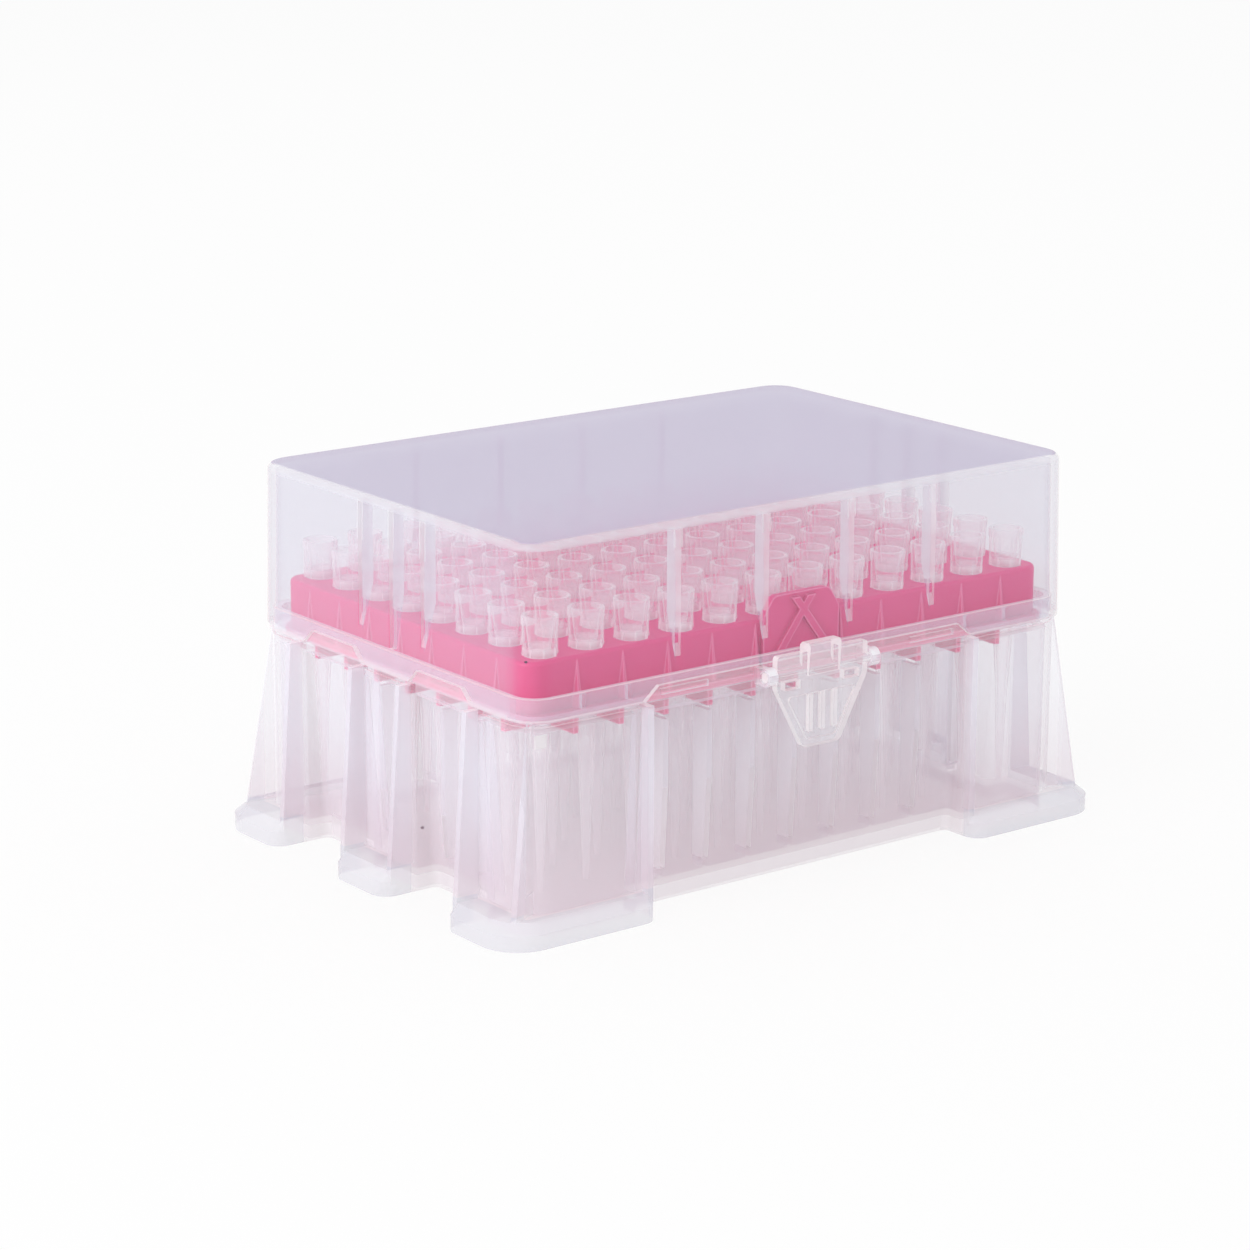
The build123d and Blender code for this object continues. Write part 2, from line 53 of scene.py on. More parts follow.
# ---- places on the CAD that the finishes and details use ------------------------------
# LID_INSIDE, LEG_FACES, FEET and the rectangles in BASE_RIBS are half sizes about the
# middle: (half length in X, half width in Y).
PITCH = 9 * MM  # spacing of the tips
ROWS = 8  # tips in a column
COLLAR_R = (2.7 * MM, 2.9 * MM)  # radii of a tip collar at its foot and at its mouth
COLLAR_HEIGHT = 6.5 * MM
COLLAR_SUNK = 3.6 * MM  # from the top of the rack's tab down to the feet of the ribs
SEAT_BAND = (1.4 * MM, 0.8 * MM)  # where the seat band ends and where it is whole
MOUTH_RING = 1.5 * MM  # height of the band round a tip mouth
DECK_MARK = 43.95 * MM  # just under the rack's deck, so that a mark sits in it
LID_INSIDE = (56.2 * MM, 37.7 * MM)  # space inside the lid walls
LID_LIP = 3.3 * MM  # height of the lip over the rim
LID_CUTS = 7 * MM  # level faces below this height are cut edges of the lip and its notches
LID_BEND = 1.3 * MM  # height of the rounded top edge
FROST_DEPTH = 0.2 * MM  # how far down from the lid's top the frosting reaches
FROST_FADE = 0.6 * MM
LID_RIB_WIDE = 12.9 * MM  # over this height a rib has its whole depth, under it only a spike
LID_RIB_DEPTH = 3 * MM
LID_SPIKE_DEPTH = 0.6 * MM
LID_RIB_HALF = 0.9 * MM  # a little more than half the thickness of a rib
# ribs in the lid: the axis they point along and the one they are spread along, how far the
# row is shifted, half the spacing that repeats and how far out the row reaches
LID_RIBS = (("Y", LID_INSIDE[1], "X", PITCH, PITCH, 28 * MM),
            ("X", LID_INSIDE[0], "Y", 0.0, PITCH / 2, 11 * MM))
FOOT_TOP = 5 * MM  # over the sloped ledges of the feet
HAZE_TOP = 26 * MM  # the base is milkier from here down
RIM_START = (33 * MM, 34 * MM)  # where the walls of the base turn into its rim
LEG_FACES = (57.7 * MM, 39.2 * MM)  # end plates and corner fins lie outside these
FEET = (58.0 * MM, 39.5 * MM)  # feet lie outside these
# stiffening ribs of the base: the way their cut sides face and the rectangle they are in
BASE_RIBS = (("X", (29 * MM, 34.9 * MM)), ("Y", (52.8 * MM, 20 * MM)))
SPECK_AT = (-54.0 * MM, -4.9 * MM, 9.6 * MM)
SPECK_R = 0.32 * MM
GATE_INSET = (1.9 * MM, 3.1 * MM)  # gate mark from the rack's near corner
GATE_R = 0.28 * MM
PATCH = (-56.0 * MM, -53.7 * MM, 31.4 * MM, 33.6 * MM)  # X and Z ends of the square patch
PATCH_FACE = -39.06 * MM  # its face, just proud of the near corner leg
PATCH_DEPTH = 0.10 * MM
PATCH_SLOPE = 0.12 * MM

# Limits on one part of a surface normal, which is 1 along an axis and 0 across it.
LEVEL = 0.35  # over this in Z a face counts as level
OFF_Y = 0.7  # under this in Y a face is turned off the front
SQUARE_ON = 0.9  # over this a face looks along the axis
LOOKS_DOWN = -0.5  # under this in Z a face looks down

# How much of what lies behind is hidden, 0 to 1, at places that stand out from the walls.
# Where the cover is higher the colour turns towards the highlight white, so the high values on
# cut edges, ribs, plates and bends are painted highlights.
COVER = {
    "turned_edge_highlight": 0.80,  # walls of the lid and the base that turn away from the eye, painted paler as highlights
    "thin_turned_edge_highlight": 0.85,  # the same on the latch and the tips
    "lip": 0.16,  # added over the lip of the lid
    "bend": 0.34,  # painted highlight band on the rounded top edge of the lid
    "lid_cut_highlight": 0.75,
    "lid_rib_highlight": 0.45,
    "latch": 0.24,
    "latch_cut_highlight": 0.80,
    "rim_cut_highlight": 0.60,
    "rim": 0.08,  # added over the rim of the base
    "haze": 0.08,  # added near the floor
    "leg_face_highlight": 0.34,
    "base_rib_highlight": 0.75,
    "foot": 0.36,
    "seat": 0.42,  # pale band painted where a collar stands on the rack, over the shade in its hole
    "patch": 0.42,
}


def paint(hex_code):
    """Linear colour of a written sRGB colour such as d3cfe0."""
    parts = [int(hex_code[i:i + 2], 16) / 255 for i in (0, 2, 4)]
    return tuple(c / 12.92 if c <= 0.04045 else ((c + 0.055) / 1.055) ** 2.4 for c in parts)


def colour_prop(name, hex_code, description):
    """A colour property with its written default."""
    return FloatVectorProperty(name=name, description=description, subtype="COLOR", size=3,
                               min=0.0, max=1.0, default=paint(hex_code))


# ---- sizes and colours ----------------------------------------------------------------
class TipBoxColours(bpy.types.PropertyGroup):
    """Colours of the plastics."""

    lid: colour_prop("Lid", "a6a2cc", "Clear plastic of the lid walls")
    # painted highlight: the white that edges, cut faces and ribs of the plastics turn to
    highlight_white: colour_prop("Lid edge", "ffffff", "Clear plastic seen along its edges")
    lid_top: colour_prop("Lid top", "b9b1cd", "Frosted panel on top of the lid")
    latch: colour_prop("Latch", "f1f0f8", "Clear plastic of the latch")
    base: colour_prop("Base", "efedff", "Milky plastic of the base")
    base_low: colour_prop("Base low", "dfc6da", "Milky plastic near the feet")
    foot: colour_prop("Foot", "bbb5d1", "Milky plastic of the feet")
    rack: colour_prop("Rack", "ee4b87", "Pink plastic of the rack")
    rack_deep: colour_prop("Rack deep", "e8407a", "Pink plastic low on the rack")
    # painted shade in the rack's corners and painted highlight along its edges
    rack_shade: colour_prop("Rack shade", "c83a70", "Pink plastic in its corners")
    rack_edge_highlight: colour_prop("Rack edge", "ff9cc0", "Pink plastic along its edges")
    tip: colour_prop("Tip", "fbeff6", "Clear plastic of the tips")
    wad: colour_prop("Filter", "f3e9ee", "Porous filter plug")
    speck: colour_prop("Speck", "5a2a3c", "Tiny dark speck in the base wall")
    floor: colour_prop("Floor", "f4f4f4", "Floor and backdrop")


class TipBoxSizes(bpy.types.PropertyGroup):
    """Sizes of the details and of the stage."""

    seat_height: FloatProperty(name="Seat height", description="Where the collars stand",
                               default=44.5 * MM, unit="LENGTH")
    rib_count: IntProperty(name="Collar ribs", description="Ribs round each tip collar",
                           default=8, min=4, max=16)
    rib_height: FloatProperty(name="Rib height", description="Height of a collar rib",
                              default=3.4 * MM, unit="LENGTH")
    rib_out: FloatProperty(name="Rib depth", description="How far a collar rib stands out",
                           default=0.22 * MM, unit="LENGTH")
    frost_border: FloatProperty(name="Frost border", description="Clear edge round the frosting",
                                default=1.1 * MM, unit="LENGTH")
    lid_cover: FloatProperty(name="Lid cover", description="How much a lid face hides",
                             default=0.085, min=0.0, max=1.0)
    base_cover: FloatProperty(name="Base cover", description="How much a base face hides",
                              default=0.17, min=0.0, max=1.0)
    tip_cover: FloatProperty(name="Tip cover", description="How much a tip face hides",
                             default=0.10, min=0.0, max=1.0)
    frost_cover: FloatProperty(name="Frost cover", description="How much the frosting hides",
                               default=0.72, min=0.0, max=1.0)
    azimuth: FloatProperty(name="Azimuth", description="Camera turn about the box",
                           default=math.radians(-37.41), subtype="ANGLE")
    elevation: FloatProperty(name="Elevation", description="Camera height angle",
                             default=math.radians(14.85), subtype="ANGLE")
    roll: FloatProperty(name="Roll", description="Camera roll", default=math.radians(0.19),
                        subtype="ANGLE")
    distance: FloatProperty(name="Distance", description="Camera distance from its target",
                            default=621.45 * MM, unit="LENGTH")
    lens: FloatProperty(name="Lens", description="Focal length in millimetres", default=105.3)
    target: FloatVectorProperty(name="Target", description="Point the camera looks at",
                                default=(-8.68 * MM, 0.0, 35.66 * MM), subtype="TRANSLATION")
    key_light: FloatProperty(name="Key light", description="Power of the large soft lamp",
                             default=6.0)
    fill_light: FloatProperty(name="Fill light", description="Power of the side lamps",
                              default=0.8)
    sky: FloatProperty(name="Sky", description="Strength of the even surround light",
                       default=0.78)


def colours():
    return bpy.context.scene.tip_box_colours


def sizes():
    return bpy.context.scene.tip_box_sizes


# ---- nodes and masks ------------------------------------------------------------------
def add_node(tree, kind, inputs=None, **settings):
    """A shader node with its settings and input values."""
    made = tree.nodes.new(kind)
    for name, value in settings.items():
        setattr(made, name, value)
    for key, value in (inputs or {}).items():
        if isinstance(value, bpy.types.NodeSocket):
            tree.links.new(value, made.inputs[key])
        else:
            made.inputs[key].default_value = value
    return made


def rgba(colour):
    return (*colour, 1.0)


def group(name, inputs, outputs):
    """An empty shader node group with named sockets, its input and output nodes."""
    tree = bpy.data.node_groups.new(name, "ShaderNodeTree")
    for label, kind, default in inputs:
        socket = tree.interface.new_socket(name=label, in_out="INPUT", socket_type=kind)
        if default is not None:
            socket.default_value = default
    for label, kind in outputs:
        tree.interface.new_socket(name=label, in_out="OUTPUT", socket_type=kind)
    return tree, tree.nodes.new("NodeGroupInput"), tree.nodes.new("NodeGroupOutput")


def calc(tree, operation, *values):
    """A Math node's result; each value is written or comes from another node."""
    return add_node(tree, "ShaderNodeMath", dict(enumerate(values)),
                    operation=operation).outputs[0]


def mix_colour(tree, factor, low, high):
    """The blend of two colours, each written or from another node."""
    mix = add_node(tree, "ShaderNodeMix", data_type="RGBA")
    for slot, value in ((0, factor), (6, low), (7, high)):
        if isinstance(value, bpy.types.NodeSocket):
            tree.links.new(value, mix.inputs[slot])
        else:
            mix.inputs[slot].default_value = value
    return mix.outputs[2]


def split(tree, kind):
    """X, Y and Z of the Object place or of the Normal of the surface."""
    coords = add_node(tree, "ShaderNodeTexCoord")
    return add_node(tree, "ShaderNodeSeparateXYZ", {"Vector": coords.outputs[kind]}).outputs


def inside(tree, place, axis, half):
    """Mask of what lies nearer the middle than half, along one axis."""
    return calc(tree, "LESS_THAN", calc(tree, "ABSOLUTE", place[axis]), half)


def outside(tree, place, axis, half):
    """Mask of what lies further from the middle than half, along one axis."""
    return calc(tree, "GREATER_THAN", calc(tree, "ABSOLUTE", place[axis]), half)


def beyond(tree, place, halves):
    """Mask of what lies outside a rectangle about the middle."""
    return calc(tree, "MAXIMUM", outside(tree, place, "X", halves[0]),
                outside(tree, place, "Y", halves[1]))


def every(tree, first, *masks):
    """The product of masks: where all of them hold."""
    for mask in masks:
        first = calc(tree, "MULTIPLY", first, mask)
    return first


def at_least(tree, alpha, mask, level):
    """Alpha raised to a level where a mask holds."""
    return calc(tree, "MAXIMUM", alpha, calc(tree, "MULTIPLY", mask, level))


# ---- node groups ----------------------------------------------------------------------
def mould_skin():
    """Group: faint ripples and fine grain of moulded plastic, as a normal and a mask."""
    if "mould_skin" in bpy.data.node_groups:
        return bpy.data.node_groups["mould_skin"]
    tree, ins, outs = group(
        "mould_skin",
        [("Ripple Scale", "NodeSocketFloat", 60.0), ("Grain Scale", "NodeSocketFloat", 2500.0),
         ("Ripple", "NodeSocketFloat", 0.1), ("Grain", "NodeSocketFloat", 0.05)],
        [("Normal", "NodeSocketVector"), ("Cloud", "NodeSocketFloat")])
    coords = add_node(tree, "ShaderNodeTexCoord")
    ripple = add_node(tree, "ShaderNodeTexNoise", {
        "Vector": coords.outputs["Object"], "Scale": ins.outputs["Ripple Scale"],
        "Detail": 2.0})
    grain = add_node(tree, "ShaderNodeTexNoise", {
        "Vector": coords.outputs["Object"], "Scale": ins.outputs["Grain Scale"],
        "Detail": 1.0})
    wide = add_node(tree, "ShaderNodeBump", {
        "Strength": ins.outputs["Ripple"], "Distance": 0.001,
        "Height": ripple.outputs["Fac"]})
    fine = add_node(tree, "ShaderNodeBump", {
        "Strength": ins.outputs["Grain"], "Distance": 0.00005,
        "Height": grain.outputs["Fac"], "Normal": wide.outputs["Normal"]})
    tree.links.new(fine.outputs["Normal"], outs.inputs["Normal"])
    tree.links.new(ripple.outputs["Fac"], outs.inputs["Cloud"])
    return tree


def height_blend():
    """Group: blends two colours from a low to a high place above the floor."""
    if "height_blend" in bpy.data.node_groups:
        return bpy.data.node_groups["height_blend"]
    tree, ins, outs = group(
        "height_blend",
        [("Low Colour", "NodeSocketColor", None), ("High Colour", "NodeSocketColor", None),
         ("Low", "NodeSocketFloat", 0.0), ("High", "NodeSocketFloat", 0.03)],
        [("Colour", "NodeSocketColor"), ("Mask", "NodeSocketFloat")])
    ramp = add_node(tree, "ShaderNodeMapRange", {
        "Value": split(tree, "Object")["Z"], "From Min": ins.outputs["Low"],
        "From Max": ins.outputs["High"]}, interpolation_type="SMOOTHSTEP")
    blend = mix_colour(tree, ramp.outputs["Result"], ins.outputs["Low Colour"],
                       ins.outputs["High Colour"])
    tree.links.new(blend, outs.inputs["Colour"])
    tree.links.new(ramp.outputs["Result"], outs.inputs["Mask"])
    return tree


def rim_light():
    """Group: masks for painted highlights on cut edges, one for level faces and one for faces
    turned off Y.
    """
    if "rim_light" in bpy.data.node_groups:
        return bpy.data.node_groups["rim_light"]
    tree, ins, outs = group("rim_light", [("Below", "NodeSocketFloat", 1.0)],
                            [("Level", "NodeSocketFloat"), ("Side", "NodeSocketFloat")])
    way = split(tree, "Normal")
    under = calc(tree, "LESS_THAN", split(tree, "Object")["Z"], ins.outputs["Below"])
    tree.links.new(every(tree, outside(tree, way, "Z", LEVEL), under), outs.inputs["Level"])
    tree.links.new(inside(tree, way, "Y", OFF_Y), outs.inputs["Side"])
    return tree


# ---- materials ------------------------------------------------------------------------
def use_group(tree, made, inputs):
    """A group placed in a material with its own values."""
    return add_node(tree, "ShaderNodeGroup", inputs, node_tree=made)


def new_material(name):
    """An empty material with a Principled shader and its output."""
    material = bpy.data.materials.new(name)
    material.use_nodes = True
    tree = material.node_tree
    tree.nodes.clear()
    shader = tree.nodes.new("ShaderNodeBsdfPrincipled")
    out = tree.nodes.new("ShaderNodeOutputMaterial")
    tree.links.new(shader.outputs["BSDF"], out.inputs["Surface"])
    return material, tree, shader


def see_through(tree, flat, edge, power):
    """Alpha of thin clear plastic: flat where it faces the eye, edge where it turns away."""
    turn = add_node(tree, "ShaderNodeLayerWeight", {"Blend": 0.5})
    return add_node(tree, "ShaderNodeMapRange", {
        "Value": calc(tree, "POWER", turn.outputs["Facing"], power), "To Min": flat,
        "To Max": edge}).outputs[0]


def clear_plastic(name, flat, edge, rough=None, power=3.0):
    """Thin clear plastic that covers little where it faces the eye and more as it turns."""
    material, tree, shader = new_material(name)
    if rough is not None:
        cloud = use_group(tree, mould_skin(), {}).outputs["Cloud"]
        gloss = add_node(tree, "ShaderNodeMapRange", {
            "Value": cloud, "To Min": rough * 0.8, "To Max": rough * 1.2})
        tree.links.new(gloss.outputs[0], shader.inputs["Roughness"])
    return material, tree, shader, see_through(tree, flat, edge, power)


def set_cover(tree, shader, alpha, colour, highlight_colour):
    """Alpha and the colour that goes with it, paler where the plastic covers more: the painted
    highlight along edges and cut faces.
    """
    pass_light(tree, shader, alpha)
    tree.links.new(mix_colour(tree, alpha, colour, highlight_colour), shader.inputs["Base Color"])


def pass_light(tree, shader, alpha, kept=0.25):
    """Alpha that lets light on through: milky plastic scatters it more than it stops it."""
    rays = add_node(tree, "ShaderNodeLightPath")
    light = calc(tree, "MAXIMUM", rays.outputs["Is Shadow Ray"], rays.outputs["Is Diffuse Ray"])
    share = add_node(tree, "ShaderNodeMapRange", {"Value": light, "To Min": 1.0, "To Max": kept})
    tree.links.new(calc(tree, "MULTIPLY", alpha, share.outputs[0]), shader.inputs["Alpha"])


def dress(nodes, material):
    """Gives CAD nodes one material."""
    for name in nodes:
        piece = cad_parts[name]
        piece.data.materials.clear()
        piece.data.materials.append(material)


def named(prefix):
    """CAD nodes whose name starts with a word, in order."""
    return sorted(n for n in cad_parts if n.startswith(prefix))


# ---- pieces ---------------------------------------------------------------------------
class TIPBOX_OT_lid(bpy.types.Operator):
    """Clear lid with a frosted panel on top"""

    bl_idname = "tipbox.lid"
    bl_label = "Finish the lid"

    def execute(self, context):
        c, s = colours(), sizes()
        material, tree, shader, alpha = clear_plastic(
            "clear_lid", s.lid_cover, COVER["turned_edge_highlight"], power=2.2)
        place = split(tree, "Object")
        low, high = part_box("lid")
        # the lip over the rim is a little paler than the walls, and the rounded top edge carries
        # a painted highlight band
        lip = calc(tree, "LESS_THAN", place["Z"], low[2] + LID_LIP)
        bend = calc(tree, "GREATER_THAN", place["Z"], high[2] - LID_BEND)
        alpha = calc(tree, "ADD", alpha, calc(tree, "MULTIPLY", lip, COVER["lip"]))
        alpha = at_least(tree, alpha, bend, COVER["bend"])
        # painted highlights on the cut edges round the lip and its notches
        rim = use_group(tree, rim_light(), {"Below": low[2] + LID_CUTS})
        alpha = at_least(tree, alpha, rim.outputs["Level"], COVER["lid_cut_highlight"])
        # painted highlights make the ribs inside the walls stand out paler than the walls
        for axis, half, across, shift, step, reach in LID_RIBS:
            along = calc(tree, "ABSOLUTE", place[across])
            spread = calc(tree, "PINGPONG", calc(tree, "ADD", along, shift), step)
            wide = calc(tree, "MAXIMUM",
                        calc(tree, "GREATER_THAN", place["Z"], low[2] + LID_RIB_WIDE),
                        outside(tree, place, axis, half - LID_SPIKE_DEPTH))
            rib = every(tree, inside(tree, place, axis, half),
                        outside(tree, place, axis, half - LID_RIB_DEPTH),
                        calc(tree, "LESS_THAN", spread, LID_RIB_HALF),
                        calc(tree, "LESS_THAN", along, reach), wide)
            alpha = at_least(tree, alpha, rib, COVER["lid_rib_highlight"])
        # frosted panel on top, inside a clear border
        frost = calc(tree, "GREATER_THAN", place["Z"], high[2] - FROST_DEPTH)
        for axis, half in (("X", high[0]), ("Y", -low[1])):
            inner = add_node(tree, "ShaderNodeMapRange", {
                "Value": calc(tree, "ABSOLUTE", place[axis]),
                "From Min": half - s.frost_border,
                "From Max": half - s.frost_border - FROST_FADE})
            frost = calc(tree, "MULTIPLY", frost, inner.outputs[0])
        alpha = at_least(tree, alpha, frost, s.frost_cover)
        rough = add_node(tree, "ShaderNodeMapRange", {
            "Value": frost, "To Min": 0.06, "To Max": 0.5})
        # the tint turns to the highlight white well before the plastic hides all that is behind
        # it, which paints the highlights
        pale = calc(tree, "MINIMUM", calc(tree, "MULTIPLY", alpha, 1.7), 1.0)
        tint = mix_colour(tree, pale, rgba(c.lid), rgba(c.highlight_white))
        pass_light(tree, shader, alpha)
        tree.links.new(mix_colour(tree, frost, tint, rgba(c.lid_top)),
                       shader.inputs["Base Color"])
        tree.links.new(rough.outputs[0], shader.inputs["Roughness"])
        dress(["lid"], material)
        return {"FINISHED"}


class TIPBOX_OT_latch(bpy.types.Operator):
    """Clear latch"""

    bl_idname = "tipbox.latch"
    bl_label = "Finish the latch"

    def execute(self, context):
        c = colours()
        material, tree, shader, alpha = clear_plastic(
            "clear_latch", COVER["latch"], COVER["thin_turned_edge_highlight"], 0.08)
        # painted highlights on the cut sides of the latch
        rim = use_group(tree, rim_light(), {})
        alpha = at_least(tree, alpha, rim.outputs["Side"], COVER["latch_cut_highlight"])
        set_cover(tree, shader, alpha, rgba(c.latch), rgba(c.highlight_white))
        dress(["latch"], material)
        return {"FINISHED"}


class TIPBOX_OT_base(bpy.types.Operator):
    """Milky base"""

    bl_idname = "tipbox.base"
    bl_label = "Finish the base"

    def execute(self, context):
        c = colours()
        material, tree, shader, alpha = clear_plastic(
            "milky_base", sizes().base_cover, COVER["turned_edge_highlight"], 0.18)
        place, way = split(tree, "Object"), split(tree, "Normal")
        low = use_group(tree, height_blend(), {
            "Low Colour": rgba(c.base_low), "High Colour": rgba(c.base),
            "Low": 0.0, "High": HAZE_TOP})
        high = use_group(tree, height_blend(), {"Low": RIM_START[0], "High": RIM_START[1]})
        # the rim and the part near the floor are milkier than the walls; the rim's level cut
        # edges carry painted highlights
        rim = use_group(tree, rim_light(), {}).outputs["Level"]
        alpha = at_least(tree, alpha, every(tree, rim, high.outputs["Mask"]),
                         COVER["rim_cut_highlight"])
        haze = add_node(tree, "ShaderNodeMapRange", {
            "Value": low.outputs["Mask"], "To Min": COVER["haze"], "To Max": 0.0})
        alpha = calc(tree, "ADD", alpha, haze.outputs[0])
        alpha = calc(tree, "ADD", alpha,
                     calc(tree, "MULTIPLY", high.outputs["Mask"], COVER["rim"]))
        # painted highlights make the end plates and corner fins stand out paler than the walls
        # behind them
        above = calc(tree, "GREATER_THAN", place["Z"], FOOT_TOP)
        legs = every(tree, beyond(tree, place, LEG_FACES), above)
        alpha = at_least(tree, alpha, legs, COVER["leg_face_highlight"])
        # painted highlights also on the cut sides of the ribs behind the recessed walls
        for axis, (half_x, half_y) in BASE_RIBS:
            ribs = every(tree, outside(tree, way, axis, SQUARE_ON), above,
                         inside(tree, place, "X", half_x), inside(tree, place, "Y", half_y))
            alpha = at_least(tree, alpha, ribs, COVER["base_rib_highlight"])
        foot = every(tree, calc(tree, "SUBTRACT", 1.0, above), beyond(tree, place, FEET))
        alpha = at_least(tree, alpha, foot, COVER["foot"])
        tone = mix_colour(tree, foot, low.outputs["Colour"], rgba(c.foot))
        set_cover(tree, shader, alpha, tone, rgba(c.highlight_white))
        dress(["base"], material)
        return {"FINISHED"}


class TIPBOX_OT_rack(bpy.types.Operator):
    """Pink rack"""

    bl_idname = "tipbox.rack"
    bl_label = "Finish the rack"

    def execute(self, context):
        c = colours()
        low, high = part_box("rack")
        material, tree, shader = new_material("pink_rack")
        blend = use_group(tree, height_blend(), {
            "Low Colour": rgba(c.rack_deep), "High Colour": rgba(c.rack),
            "Low": low[2] + 3 * MM, "High": high[2] - 3 * MM})
        skin = use_group(tree, mould_skin(), {"Ripple": 0.06, "Grain": 0.05})
        rough = add_node(tree, "ShaderNodeMapRange", {
            "Value": skin.outputs["Cloud"], "To Min": 0.34, "To Max": 0.48})
        # painted shade in the corners and a painted highlight along every open edge
        shade = add_node(tree, "ShaderNodeAmbientOcclusion", {"Distance": 2.0 * MM}, samples=6,
                         only_local=True)
        corner_shaded_tone = mix_colour(tree, shade.outputs["AO"], rgba(c.rack_shade),
                          blend.outputs["Colour"])
        bend = add_node(tree, "ShaderNodeBevel", {"Radius": 0.45 * MM}, samples=6)
        flat = add_node(tree, "ShaderNodeNewGeometry")
        along = add_node(tree, "ShaderNodeVectorMath", {
            0: bend.outputs["Normal"], 1: flat.outputs["Normal"]}, operation="DOT_PRODUCT")
        edge = add_node(tree, "ShaderNodeMapRange", {
            "Value": along.outputs["Value"], "From Min": 0.995, "From Max": 0.93})
        edge_highlight_mask = every(tree, edge.outputs[0],
                          calc(tree, "GREATER_THAN", shade.outputs["AO"], 0.6))
        tone = mix_colour(tree, calc(tree, "MULTIPLY", edge_highlight_mask, 0.8), corner_shaded_tone,
                          rgba(c.rack_edge_highlight))
        tree.links.new(tone, shader.inputs["Base Color"])
        tree.links.new(rough.outputs[0], shader.inputs["Roughness"])
        tree.links.new(skin.outputs["Normal"], shader.inputs["Normal"])
        shader.inputs["Subsurface Weight"].default_value = 0.12
        shader.inputs["Subsurface Radius"].default_value = (1.0, 0.5, 0.6)
        shader.inputs["Subsurface Scale"].default_value = 1.5 * MM
        dress(["rack"], material)
        return {"FINISHED"}


class TIPBOX_OT_tips(bpy.types.Operator):
    """Clear tips and their collar ribs"""

    bl_idname = "tipbox.tips"
    bl_label = "Finish the tips"

    def execute(self, context):
        c, s = colours(), sizes()
        material, tree, shader, alpha = clear_plastic(
            "clear_tip", s.tip_cover, COVER["thin_turned_edge_highlight"], 0.14, power=2.4)
        # faces that look down stay clear, or they would darken the rack round each collar
        up = calc(tree, "GREATER_THAN", split(tree, "Normal")["Z"], LOOKS_DOWN)
        alpha = calc(tree, "MULTIPLY", alpha, up)
        # pale band painted where a collar stands on the rack, over the shade in the hole under it
        off_seat = calc(tree, "SUBTRACT", split(tree, "Object")["Z"], s.seat_height)
        seat = add_node(tree, "ShaderNodeMapRange", {
            "Value": calc(tree, "ABSOLUTE", off_seat),
            "From Min": SEAT_BAND[0], "From Max": SEAT_BAND[1], "To Max": COVER["seat"]})
        alpha = calc(tree, "MAXIMUM", alpha, seat.outputs[0])
        set_cover(tree, shader, alpha, rgba(c.tip), rgba(c.highlight_white))
        dress(named("tips_column"), material)
        return {"FINISHED"}


